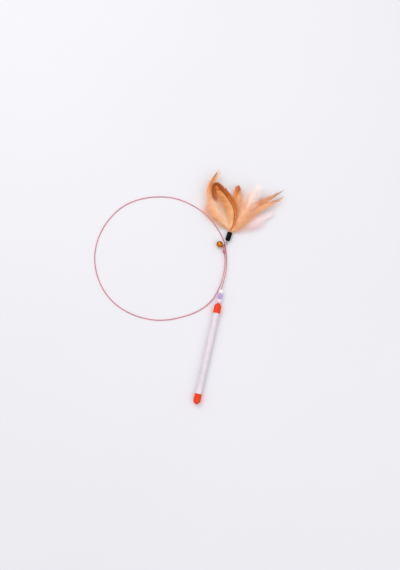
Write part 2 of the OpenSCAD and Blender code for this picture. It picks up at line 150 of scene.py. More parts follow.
class Shading:
    """The node tree of a material or a world, and short ways to add to it."""

    def __init__(self, owner):
        owner.use_nodes = True
        self.tree = owner.node_tree

    def join(self, output, target):
        self.tree.links.new(output, target)

    def add(self, kind, **values):
        node = self.tree.nodes.new(kind)
        for name, value in values.items():
            setattr(node, name, value)
        return node

    def span(self, source, low, high, start=0.0, end=1.0):
        """Stretches a value that runs from start to end, so that it runs from low to high."""
        node = self.add("ShaderNodeMapRange")
        for socket, number in zip(("From Min", "From Max", "To Min", "To Max"), (start, end, low, high)):
            node.inputs[socket].default_value = number
        self.join(source, node.inputs["Value"])
        return node.outputs["Result"]


class Finish(Shading):
    """A material with one Principled shader."""

    def __init__(self, name, colour, rough, metal=0.0):
        self.material = bpy.data.materials.new(name)
        super().__init__(self.material)
        self.shader = self.tree.nodes["Principled BSDF"]
        self.set("Base Color", (*colour, 1))
        self.set("Roughness", rough)
        self.set("Metallic", metal)

    def set(self, socket, value):
        self.shader.inputs[socket].default_value = value

    def drive(self, socket, output):
        self.join(output, self.shader.inputs[socket])

    def place(self, scale=(1, 1, 1), centre=(0, 0, 0)):
        """Object coordinates moved to a centre, then scaled."""
        coordinates = self.add("ShaderNodeTexCoord")
        shift = self.add("ShaderNodeVectorMath", operation="SUBTRACT")
        shift.inputs[1].default_value = centre
        size = self.add("ShaderNodeVectorMath", operation="MULTIPLY")
        size.inputs[1].default_value = scale
        self.join(coordinates.outputs["Object"], shift.inputs[0])
        self.join(shift.outputs[0], size.inputs[0])
        return size.outputs[0]

    def noise(self, size, detail=3, where=None, rough=0.5):
        """Clouds whose grains are about the given length across."""
        node = self.add("ShaderNodeTexNoise")
        node.inputs["Scale"].default_value = 1 / size
        node.inputs["Detail"].default_value = detail
        node.inputs["Roughness"].default_value = rough
        self.join(where or self.place(), node.inputs["Vector"])
        return node.outputs["Fac"]

    def value(self, name):
        """A value that the piece's own mesh carries."""
        return self.add("ShaderNodeAttribute", attribute_name=name).outputs["Fac"]

    def ramp(self, source, dye):
        """The colours of a dye, whose rows are a place from 0 to 1 and a screen colour."""
        node = self.add("ShaderNodeValToRGB")
        band = node.color_ramp
        while len(band.elements) < len(dye):
            band.elements.new(1)
        for element, (place, *colour) in zip(band.elements, dye):
            element.position = place
            element.color = (*paint(*colour), 1)
        self.join(source, node.inputs["Fac"])
        return node.outputs["Color"]

    def mix(self, share, one, other):
        """Blends two colours, each a socket or three numbers."""
        node = self.add("ShaderNodeMix", data_type="RGBA")
        self.join(share, node.inputs[0])
        for target, source in ((node.inputs[6], one), (node.inputs[7], other)):
            if isinstance(source, NodeSocket):
                self.join(source, target)
            else:
                target.default_value = (*source, 1)
        return node.outputs[2]

    def mottle(self, source, colour, dark, light, start, end):
        """Shades of a colour, from dark to light where a value runs from start to end."""
        return self.mix(self.span(source, 0, 1, start, end), shade(colour, dark), shade(colour, light))

    def relief(self, height, depth, distance):
        """Raises and sinks the surface a little."""
        node = self.add("ShaderNodeBump")
        node.inputs["Strength"].default_value = depth
        node.inputs["Distance"].default_value = distance
        if self.shader.inputs["Normal"].is_linked:
            self.join(self.shader.inputs["Normal"].links[0].from_socket, node.inputs["Normal"])
        self.join(height, node.inputs["Height"])
        self.drive("Normal", node.outputs["Normal"])


def milky_plastic(colour):
    finish = Finish("milky_tube", colour, 0.3)
    streaks = finish.noise(0.0016, 4, finish.place((1, 0.05, 1)))
    clouds = finish.noise(0.012, 3)
    base = finish.mottle(clouds, colour, 0.93, 1.02, 0.35, 0.65)
    finish.drive("Base Color", finish.mix(finish.span(streaks, 0, 0.3, 0.4, 0.7), base, shade(colour, 0.88)))
    finish.drive("Roughness", finish.span(streaks, 0.22, 0.4, 0.3, 0.7))
    finish.set("Subsurface Weight", 0.12)
    finish.set("Subsurface Scale", 0.0015)
    finish.relief(streaks, 0.12, 0.0001)
    return finish


def cap_vinyl(colour, grain):
    finish = Finish("soft_cap_vinyl", colour, 0.34)
    mottle = finish.noise(grain, 4)
    pores = finish.noise(grain / 8, 2)
    finish.drive("Base Color", finish.mottle(mottle, colour, 0.86, 1.06, 0.3, 0.7))
    finish.drive("Roughness", finish.span(mottle, 0.27, 0.42, 0.3, 0.7))
    finish.relief(mottle, 0.12, 0.0002)
    finish.relief(pores, 0.1, 0.00005)
    finish.set("Specular IOR Level", 0.25)
    return finish


def pearl(name, colour, centre):
    """A glossy bead with faint swirls and its mould's seam round the middle."""
    finish = Finish(name, colour, 0.2)
    swirl = finish.noise(0.0035, 5, finish.place((1, 2.2, 1), centre))
    finish.drive("Base Color", finish.mottle(swirl, colour, 0.84, 1.05, 0.35, 0.65))
    split = finish.add("ShaderNodeSeparateXYZ")
    finish.join(finish.place(centre=centre), split.inputs[0])
    away = finish.add("ShaderNodeMath", operation="ABSOLUTE")
    finish.join(split.outputs["Y"], away.inputs[0])
    finish.relief(finish.span(away.outputs[0], 1, 0, 0.00004, 0.00014), 0.35, 0.0001)
    finish.relief(swirl, 0.05, 0.0001)
    finish.set("Coat Weight", 0.5)
    finish.set("Coat Roughness", 0.08)
    return finish


def coated_wire(colour):
    """Thin vinyl over wire, a little darker in random broad patches, with a fine darker grain."""
    finish = Finish("wire_coating", colour, 0.3)
    worn = finish.noise(0.02, 4)
    fine = finish.noise(0.0009, 2)
    base = finish.mottle(worn, colour, 0.8, 1.12, 0.38, 0.62)
    finish.drive("Base Color", finish.mix(finish.span(fine, 0, 0.35, 0.4, 0.7), base, shade(colour, 0.7)))
    finish.drive("Roughness", finish.span(fine, 0.24, 0.42, 0.3, 0.7))
    finish.relief(fine, 0.2, 0.00006)
    finish.set("Coat Weight", 0.3)
    finish.set("Coat Roughness", 0.15)
    return finish


def metal(name, colour, rough):
    """Metal with stains, a fine brushed grain and slight dents."""
    finish = Finish(name, colour, rough, 1.0)
    stain = finish.noise(0.0036, 4)
    brush = finish.noise(0.0006, 3)
    finish.drive("Base Color", finish.mottle(stain, colour, 0.78, 1.12, 0.35, 0.65))
    finish.drive("Roughness", finish.span(brush, rough * 0.7, rough * 1.5, 0.3, 0.7))
    finish.relief(stain, 0.15, 0.0001)
    finish.relief(brush, 0.09, 0.00003)
    return finish


def black_gloss(colour):
    finish = Finish("ferrule_gloss", colour, 0.12)
    scuffs = finish.noise(0.0012, 5, finish.place((1, 0.25, 1)))
    waves = finish.noise(0.004, 2)
    finish.drive("Base Color", finish.mix(finish.span(scuffs, 0, 0.5, 0.55, 0.75), colour, shade(colour, 3)))
    finish.drive("Roughness", finish.span(scuffs, 0.1, 0.26, 0.35, 0.75))
    finish.relief(waves, 0.25, 0.0003)
    finish.set("Specular IOR Level", 0.08)
    return finish


def set_glue(colour):
    finish = Finish("set_glue", colour, 0.4)
    lumps = finish.noise(0.0012, 4)
    finish.drive("Base Color", finish.mix(lumps, shade(colour, 0.7), shade(colour, 1.1)))
    finish.relief(lumps, 0.5, 0.0003)
    return finish


def table_paper(colour):
    finish = Finish("table_paper", colour, 0.7)
    finish.drive("Base Color", finish.mottle(finish.noise(0.4, 2), colour, 0.985, 1, 0.3, 0.7))
    finish.set("Specular IOR Level", 0.1)
    return finish


def white_room(look):
    """A room that is darker low down, so that metal and gloss have something to show. The camera sees
    a plain backdrop in its place."""
    world = bpy.data.worlds.new("room")
    shading = Shading(world)
    room = shading.tree.nodes["Background"]
    room.inputs["Color"].default_value = (1, 1, 1, 1)
    around, height = shading.add("ShaderNodeTexCoord"), shading.add("ShaderNodeSeparateXYZ")
    shading.join(around.outputs["Generated"], height.inputs[0])
    level = shading.span(height.outputs["Z"], look.sky * 0.35, look.sky, 0, 0.75)
    shading.join(level, room.inputs["Strength"])
    seen = shading.add("ShaderNodeBackground")
    seen.inputs["Color"].default_value = (*look.floor, 1)
    seen.inputs["Strength"].default_value = look.haze
    path, choose = shading.add("ShaderNodeLightPath"), shading.add("ShaderNodeMixShader")
    for k, output in enumerate((path.outputs["Is Camera Ray"], room.outputs[0], seen.outputs[0])):
        shading.join(output, choose.inputs[k])
    shading.join(choose.outputs[0], shading.tree.nodes["World Output"].inputs["Surface"])
    return world


def dyed_feather(name, dyes):
    """Dyed barbs. left and right are the two vanes from the quill to the tip, edge tints the ends of
    the barbs, dark is a deeper dye that barbs of a low random tone and random streaks take, quill is
    the shaft, down is loose fluff, glow is the sheen of the soft surface and rough its roughness."""
    finish = Finish(name, paint(*dyes["left"][-1][1:]), dyes["rough"])
    along, tone = finish.value("along"), finish.value("tone")
    sides = finish.mix(finish.span(finish.value("side"), 0, 1, -0.15, 0.15),
                       finish.ramp(along, dyes["left"]), finish.ramp(along, dyes["right"]))
    edge, dark = finish.ramp(along, dyes["edge"]), finish.ramp(along, dyes["dark"])
    toward = finish.mix(finish.span(finish.value("reach"), 0, 0.5, 0.45, 1), sides, edge)
    toned = finish.mix(finish.span(tone, 0.35, 0, 0, 0.6), toward, dark)
    barb = finish.add("ShaderNodeCombineXYZ")
    for socket, value in (("X", "barb"), ("Y", "reach"), ("Z", "side")):
        finish.join(finish.value(value), barb.inputs[socket])
    streaks = finish.noise(0.7, 4, barb.outputs[0], 0.65)
    patched = finish.mix(finish.span(streaks, 0.5, 0, 0.34, 0.56), toned, dark)
    loose = finish.mix(finish.span(tone, 0, 1, 1.2, 1.8), patched, finish.ramp(along, dyes["down"]))
    shaft = finish.span(tone, 1, 0, -1, -0.5)
    finish.drive("Base Color", finish.mix(shaft, loose, finish.ramp(along, dyes["quill"])))
    finish.relief(streaks, 0.3, 0.0001)
    finish.set("Specular IOR Level", 0.2)
    finish.set("Sheen Weight", 0.8)
    finish.set("Sheen Roughness", 0.5)
    finish.set("Sheen Tint", (*paint(*dyes["glow"]), 1))
    return finish


RIGHT_DYES = {
    "left": [(0, 255, 202, 146), (0.35, 255, 196, 142), (0.55, 255, 184, 130), (0.72, 226, 146, 92),
             (1, 186, 124, 82)],
    "right": [(0, 255, 204, 150), (0.35, 255, 204, 156), (0.65, 255, 192, 142), (0.85, 236, 162, 110),
              (1, 196, 134, 92)],
    "edge": [(0, 255, 200, 152), (0.7, 250, 190, 138), (1, 206, 150, 108)],
    "dark": [(0, 244, 156, 94), (0.7, 226, 138, 82), (1, 170, 106, 64)],
    "quill": [(0, 255, 196, 140), (0.45, 206, 112, 52), (1, 120, 66, 30)],
    "down": [(0, 255, 204, 146), (0.4, 255, 200, 152), (1, 255, 222, 200)],
    "glow": (255, 190, 120), "rough": 0.6,
}
CURLED_DYES = {
    "left": [(0, 255, 216, 158), (0.3, 255, 196, 132), (0.45, 255, 182, 112), (0.68, 255, 174, 106),
             (0.78, 196, 96, 24), (1, 216, 124, 58)],
    "right": [(0, 255, 206, 152), (0.18, 210, 112, 48), (0.42, 208, 114, 48), (0.62, 186, 96, 32),
              (0.78, 156, 66, 2), (1, 204, 110, 44)],
    "edge": [(0, 255, 206, 148), (0.5, 246, 162, 94), (0.72, 190, 92, 18), (1, 222, 132, 66)],
    "dark": [(0, 244, 160, 96), (0.3, 210, 120, 54), (0.5, 176, 84, 22), (0.75, 136, 52, 0),
             (1, 170, 84, 24)],
    "quill": [(0, 252, 200, 146), (0.12, 206, 108, 44), (0.3, 176, 80, 24), (0.52, 142, 60, 10),
              (0.66, 104, 44, 4), (1, 124, 60, 12)],
    "down": [(0, 255, 216, 166), (0.3, 255, 196, 136), (1, 255, 188, 128)],
    "glow": (240, 160, 80), "rough": 0.6,
}
TALL_DYES = {
    "left": [(0, 255, 216, 178), (0.3, 255, 198, 146), (0.55, 255, 180, 116), (0.72, 250, 166, 100),
             (0.86, 224, 144, 84), (1, 150, 96, 52)],
    "right": [(0, 255, 216, 178), (0.3, 255, 196, 142), (0.55, 255, 174, 108), (0.75, 250, 166, 98),
              (0.88, 240, 176, 122), (1, 250, 214, 172)],
    "edge": [(0, 255, 206, 156), (0.75, 250, 190, 134), (1, 226, 180, 134)],
    "dark": [(0, 246, 166, 108), (0.7, 232, 144, 82), (1, 170, 106, 60)],
    "quill": [(0, 255, 210, 156), (0.4, 244, 168, 108), (0.7, 212, 130, 72), (1, 130, 80, 40)],
    "down": [(0, 255, 224, 196), (0.4, 255, 214, 184), (1, 255, 214, 190)],
    "glow": (255, 196, 130), "rough": 0.6,
}
SHORT_DYES = {
    "left": [(0, 255, 194, 126), (0.5, 255, 186, 116), (0.75, 246, 162, 92), (1, 212, 120, 56)],
    "right": [(0, 255, 194, 126), (0.5, 255, 180, 108), (0.75, 232, 144, 80), (1, 184, 90, 34)],
    "edge": [(0, 255, 196, 138), (0.7, 240, 160, 98), (1, 196, 104, 46)],
    "dark": [(0, 240, 148, 84), (0.7, 220, 124, 62), (1, 176, 84, 30)],
    "quill": [(0, 252, 196, 138), (0.6, 240, 154, 90), (1, 190, 100, 40)],
    "down": [(0, 255, 204, 144), (0.5, 255, 200, 146), (1, 255, 208, 164)],
    "glow": (255, 184, 110), "rough": 0.6,
}


def plume_dyes(strands, edge, dark):
    """The dyes of a plume, whose strands are alike on both sides."""
    return {"left": strands, "right": strands, "edge": edge, "dark": dark, "quill": strands,
            "down": strands, "glow": (255, 236, 232), "rough": 0.75}


DOWN_DYES = plume_dyes(
    [(0, 255, 194, 138), (0.35, 255, 198, 154), (0.58, 255, 224, 210), (0.75, 255, 246, 245),
     (1, 255, 252, 252)],
    edge=[(0, 255, 204, 156), (0.5, 255, 222, 204), (1, 255, 248, 246)],
    dark=[(0, 255, 188, 136), (0.5, 255, 204, 176), (1, 255, 236, 230)])
PINK_DYES = plume_dyes(
    [(0, 255, 216, 202), (0.25, 255, 226, 224), (0.6, 255, 236, 241), (1, 255, 246, 248)],
    edge=[(0, 255, 234, 236), (1, 255, 246, 249)],
    dark=[(0, 255, 222, 218), (1, 255, 236, 240)])
PEACH_DYES = plume_dyes(
    [(0, 255, 200, 152), (0.4, 255, 198, 160), (1, 255, 220, 204)],
    edge=[(0, 255, 208, 176), (1, 255, 224, 210)],
    dark=[(0, 255, 188, 146), (1, 255, 204, 180)])


# Lines in space

def on_curve(rows, i, t):
    """A point on a smooth curve through the rows, between row i and row i + 1."""
    a, b = rows[max(i - 1, 0)], rows[i]
    c, d = rows[i + 1], rows[min(i + 2, len(rows) - 1)]
    return [(2 * q + (r - p) * t + (2 * p - 5 * q + 4 * r - s) * t ** 2
             + (3 * q - p - 3 * r + s) * t ** 3) / 2 for p, q, r, s in zip(a, b, c, d)]


def smooth(rows, steps):
    fine = [on_curve(rows, i, k / steps) for i in range(len(rows) - 1) for k in range(steps)]
    return fine + [list(rows[-1])]


def curved(start, bend, end, steps):
    """Points on a simple bow from start to end."""
    return [start * (1 - t) ** 2 + bend * 2 * t * (1 - t) + end * t ** 2
            for t in (k / steps for k in range(steps + 1))]


def from_tip(x, y, z):
    """A point that is given in millimetres from the tip of the top cap."""
    return Vector((x, y, z)) * MM - TIP_OFFSET


# The wire's route, in millimetres from the tip of the top cap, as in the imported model
ROUTE = [(0, -5, AXIS_Z), (0, 0, AXIS_Z), (0, 23, AXIS_Z), (0.4, 34, 5.6), (0.2, 52, 4.6),
         (-2.7, 70, 3.4), (-5.4, 79, 2.8), (-7.1, 84.3, 2.4), (-8.9, 89.1, 1.9),
         (-10.6, 93, 1.5), (-13.6, 98.4, 1.1), (-22, 109.5, 0.8), (-36, 123, 0.8),
         (-54, 135, 0.8), (-78, 144, 0.8), (-103, 147.5, 0.8), (-127, 144.5, 0.8),
         (-149, 137, 0.8), (-169, 125, 0.8), (-185, 108, 0.8), (-197, 85, 0.8),
         (-203, 60, 0.8), (-202.5, 35, 0.8), (-196, 13, 0.8), (-184, -8, 0.8),
         (-167, -25.5, 0.8), (-146, -38, 0.8), (-121, -45, 0.8), (-95, -46, 0.8),
         (-72, -41.5, 0.8), (-52, -33, 0.8), (-34, -22.5, 0.8), (-20, -10, 0.9),
         (-11.5, 2, 1.4), (-7.4, 11, 2.3), (-4.9, 20, 3.1), (-3, 31, 3.7), (-2.2, 46, 3.9),
         (-3.2, 60, 3.6), (-5.2, 70, 3.4), (-7.9, 77.8, 3.3), (-9.7, 83.5, 3.3)]
# Where the wire ends in the sleeve
WIRE_START = (0, -6.64, AXIS_Z)
ROUTE_STEPS = 8
ROUTE_END = Vector(ROUTE[-1])
END_ALONG = (ROUTE_END - Vector(ROUTE[-2])).normalized()
END_RIGHT = Vector((END_ALONG.y, -END_ALONG.x, 0))
LINK_Z = 3.85

# The eye: its radius, its distance from the end of the route, and the angles of its ring
EYE_RADIUS = 2.4
EYE_NECK = 0.3
EYE_TURNS = [math.radians(225 + 9 * k) for k in range(31)]
# Points that lead from the ring to the winding, along the wire's end, to its right and above it
NECK_POINTS = [(0.25, 0, 1.85), (-0.4, 0, 1.62)]
# The winding round the wire: its radius, where it starts, its pitch, its turns and points in a turn
WOUND_RADIUS = 1.35
WOUND_START = -1
WOUND_PITCH = 1.65
WOUND_TURNS = 3
WOUND_STEPS = 24

# The mouth of the ferrule, with Y out of it and Z up
FERRULE_MOUTH = Vector((-11.567, 86.017, LINK_Z)) * MM
LURE_TURN = math.radians(-5)
MOUTH_FRAME = Matrix.Translation(FERRULE_MOUTH) @ Matrix.Rotation(LURE_TURN, 4, "Z")


def at_eye(along, right, up):
    """A point of the eye from its distance along the wire's end, to its right and above it."""
    return from_tip(*(ROUTE_END + END_ALONG * along + END_RIGHT * right + UP * up))


def eye_points():
    """The middle line of the eye and its winding."""
    middle_z = LINK_Z - ROUTE_END.z
    ring = [at_eye(EYE_NECK + EYE_RADIUS * (1 + math.cos(turn)), 0, middle_z + EYE_RADIUS * math.sin(turn))
            for turn in EYE_TURNS]
    winding = []
    for k in range(WOUND_TURNS * WOUND_STEPS + 1):
        turn = math.radians(360 / WOUND_STEPS * k)
        winding.append(at_eye(WOUND_START - WOUND_PITCH * k / WOUND_STEPS, -WOUND_RADIUS * math.sin(turn),
                              WOUND_RADIUS * math.cos(turn)))
    rows = [from_tip(*ROUTE_END)] + ring + [at_eye(*point) for point in NECK_POINTS] + winding
    return [Vector(point) for point in smooth([tuple(row) for row in rows], 2)]


# Shared ways of making a piece

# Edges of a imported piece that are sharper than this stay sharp
SHARP_EDGE = math.radians(35)
WELD_DISTANCE = 1e-6


def clear_selection():
    if bpy.context.mode != "OBJECT":
        bpy.ops.object.mode_set(mode="OBJECT")
    bpy.ops.object.select_all(action="DESELECT")


def take(piece):
    """Makes a piece the only selected one, and opens its whole mesh for editing."""
    clear_selection()
    piece.select_set(True)
    bpy.context.view_layer.objects.active = piece
    bpy.ops.object.mode_set(mode="EDIT")
    bpy.ops.mesh.select_all(action="SELECT")


def new_object(name, data):
    made = bpy.data.objects.new(name, data)
    bpy.context.scene.collection.objects.link(made)
    return made


def new_piece(name, data, finish):
    """Puts a mesh or curve into the scene with its finish."""
    data.materials.clear()
    data.materials.append(finish.material)
    return new_object(name, data)


def stand_for(piece, node, body):
    """Lets a piece stand for a packed one and ride with its body."""
    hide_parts(node)
    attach(piece, body)


def dress(node, finish):
    """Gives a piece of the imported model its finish."""
    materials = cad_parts[node].data.materials
    materials.clear()
    materials.append(finish.material)


def polish(node, body, finish):
    """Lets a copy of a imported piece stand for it, with its facets shaded smooth."""
    piece = new_piece(node + "_surface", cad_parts[node].data.copy(), finish)
    take(piece)
    bpy.ops.mesh.remove_doubles(threshold=WELD_DISTANCE)
    bpy.ops.object.mode_set(mode="OBJECT")
    bpy.ops.mesh.customdata_custom_splitnormals_clear()
    bpy.ops.object.shade_smooth_by_angle(angle=SHARP_EDGE)
    clear_selection()
    stand_for(piece, node, body)


def bent_wire(name, points, diameter, finish):
    """A round wire that follows the points, as a curve with closed ends."""
    curve = bpy.data.curves.new(name, "CURVE")
    curve.dimensions = "3D"
    line = curve.splines.new("POLY")
    line.points.add(len(points) - 1)
    for spot, point in zip(line.points, points):
        spot.co = (*point, 1)
    curve.bevel_depth = diameter / 2
    curve.bevel_resolution = 3
    curve.use_fill_caps = True
    line.use_smooth = True
    return new_piece(name, curve, finish)


# Feathers

# Seats of the quills in the glue: number 0 in the middle, and numbers 1 to 6 on a ring round it, at
# the ring's pitch in degrees past an offset
SEAT_RING = 1.95
SEAT_PITCH = 60
SEAT_OFFSET = 30
# A quill's radius, and places along it from its end in the glue to where it has left the mouth
QUILL_RADIUS = 0.6
QUILL_PLACES = (-7.5, -3.7, 0, 1.5)
# Points of a feather's outline between two of its rows
ROW_STEPS = 8

# Rows of each feather in thousandths of its length: place right, forward and up from the mouth, then
# the width on the left and on the right of the shaft
RIGHT_ROWS = [(36, 75, 0, 8, 8), (94, 196, 22, 54, 80), (163, 332, 32, 67, 100),
              (277, 473, 45, 77, 84), (411, 592, 47, 73, 80), (490, 670, 42, 60, 55),
              (551, 755, 29, 45, 45)]
CURLED_ROWS = [(6, 59, 38, 9, 9), (12, 114, 68, 50, 24), (-4, 200, 95, 100, 36),
               (-35, 286, 118, 114, 56), (-95, 365, 136, 109, 74), (-200, 448, 153, 118, 86),
               (-295, 508, 158, 88, 72), (-368, 562, 155, 60, 52), (-408, 545, 138, 56, 34),
               (-398, 458, 125, 52, 26), (-366, 380, 117, 12, 6)]
TALL_ROWS = [(-34, 60, 22, 8, 8), (-120, 120, 50, 52, 31), (-260, 200, 72, 74, 52),
             (-375, 330, 85, 52, 60), (-425, 470, 90, 45, 60), (-420, 600, 86, 40, 50),
             (-400, 690, 76, 25, 35), (-375, 785, 60, 18, 20)]
SHORT_ROWS = [(8, 100, 21, 10, 10), (21, 250, 62, 79, 103), (15, 421, 81, 121, 147),
              (-29, 579, 90, 110, 128), (-85, 721, 94, 79, 82), (-115, 859, 85, 68, 84),
              (-100, 936, 68, 50, 66), (-81, 955, 58, 20, 30)]
DOWN_ROWS = [(50, 100, 41, 9, 9), (105, 268, 100, 44, 54), (151, 457, 132, 91, 85),
             (201, 695, 139, 122, 110), (232, 866, 127, 85, 85), (250, 976, 110, 12, 12)]
PINK_ROWS = [(45, 103, -27, 11, 11), (170, 203, -20, 100, 101), (359, 335, -12, 180, 149),
             (547, 486, -12, 180, 142), (716, 655, -15, 11, 11)]
PEACH_ROWS = [(-80, 118, -12, 12, 12), (-250, 223, -2, 107, 100), (-500, 348, 5, 161, 154),
              (-688, 438, 5, 129, 125), (-830, 509, 4, 11, 11)]

# How far strands stay above the table, and how far the peach plume does, which lies across the wire
CLEAR_OF_TABLE = 0.15
CLEAR_OF_WIRE = 1.9
# How far to a side the root of a loose strand may stray at most, and how far from the mouth it stands
# when it first may. Nearer to the mouth it strays less
STRAY = 2.2
STRAY_FROM = 14
# The longest strand of marabou, and the least width that it is laid for
MARABOU_MOST = 26
MARABOU_LEAST = 3.0
TINY = 1e-6


def seat(number):
    """Where a quill crosses the mouth of the ferrule."""
    if number == 0:
        return (0.0, 0.0)
    turn = math.radians(SEAT_PITCH * number + SEAT_OFFSET)
    return (SEAT_RING * math.cos(turn), SEAT_RING * math.sin(turn))


class Vane:
    """A feather's shaft and outline, in millimetres from the mouth. A station is a distance along the
    shaft from the quill's end."""

    def __init__(self, rows, length, number, fork=1.0):
        right, up = seat(number)
        quill = [(right, forward, up, QUILL_RADIUS, QUILL_RADIUS) for forward in QUILL_PLACES]
        self.fine = smooth(quill + [tuple(length * (part / 1000) for part in row) for row in rows],
                           ROW_STEPS)
        self.line = [Vector(row[:3]) for row in self.fine]
        self.stations = [0.0]
        for a, b in zip(self.line, self.line[1:]):
            self.stations.append(self.stations[-1] + (b - a).length)
        self.size = self.stations[-1]
        self.start = self.stations[(len(QUILL_PLACES) - 1) * ROW_STEPS]
        self.fork = self.station(fork)

    def station(self, share):
        """The station at a share of the way from the mouth to the tip."""
        return self.start + (self.size - self.start) * share

    def share(self, station):
        return (station - self.start) / (self.size - self.start)

    def at(self, station):
        """Place, direction, side direction, upward direction and both widths at a station."""
        station = min(max(station, 0), self.size - TINY)
        low = min(bisect_right(self.stations, station), len(self.stations) - 1) - 1
        high = low + 1
        gap = self.stations[high] - self.stations[low]
        share = (station - self.stations[low]) / gap if gap else 0
        place = self.line[low].lerp(self.line[high], share)
        ahead = self.line[min(high + 1, len(self.line) - 1)] - self.line[max(low - 1, 0)]
        ahead.normalize()
        side = ahead.cross(UP).normalized()
        widths = [self.fine[low][k] + (self.fine[high][k] - self.fine[low][k]) * share for k in (3, 4)]
        return place, ahead, side, side.cross(ahead), widths


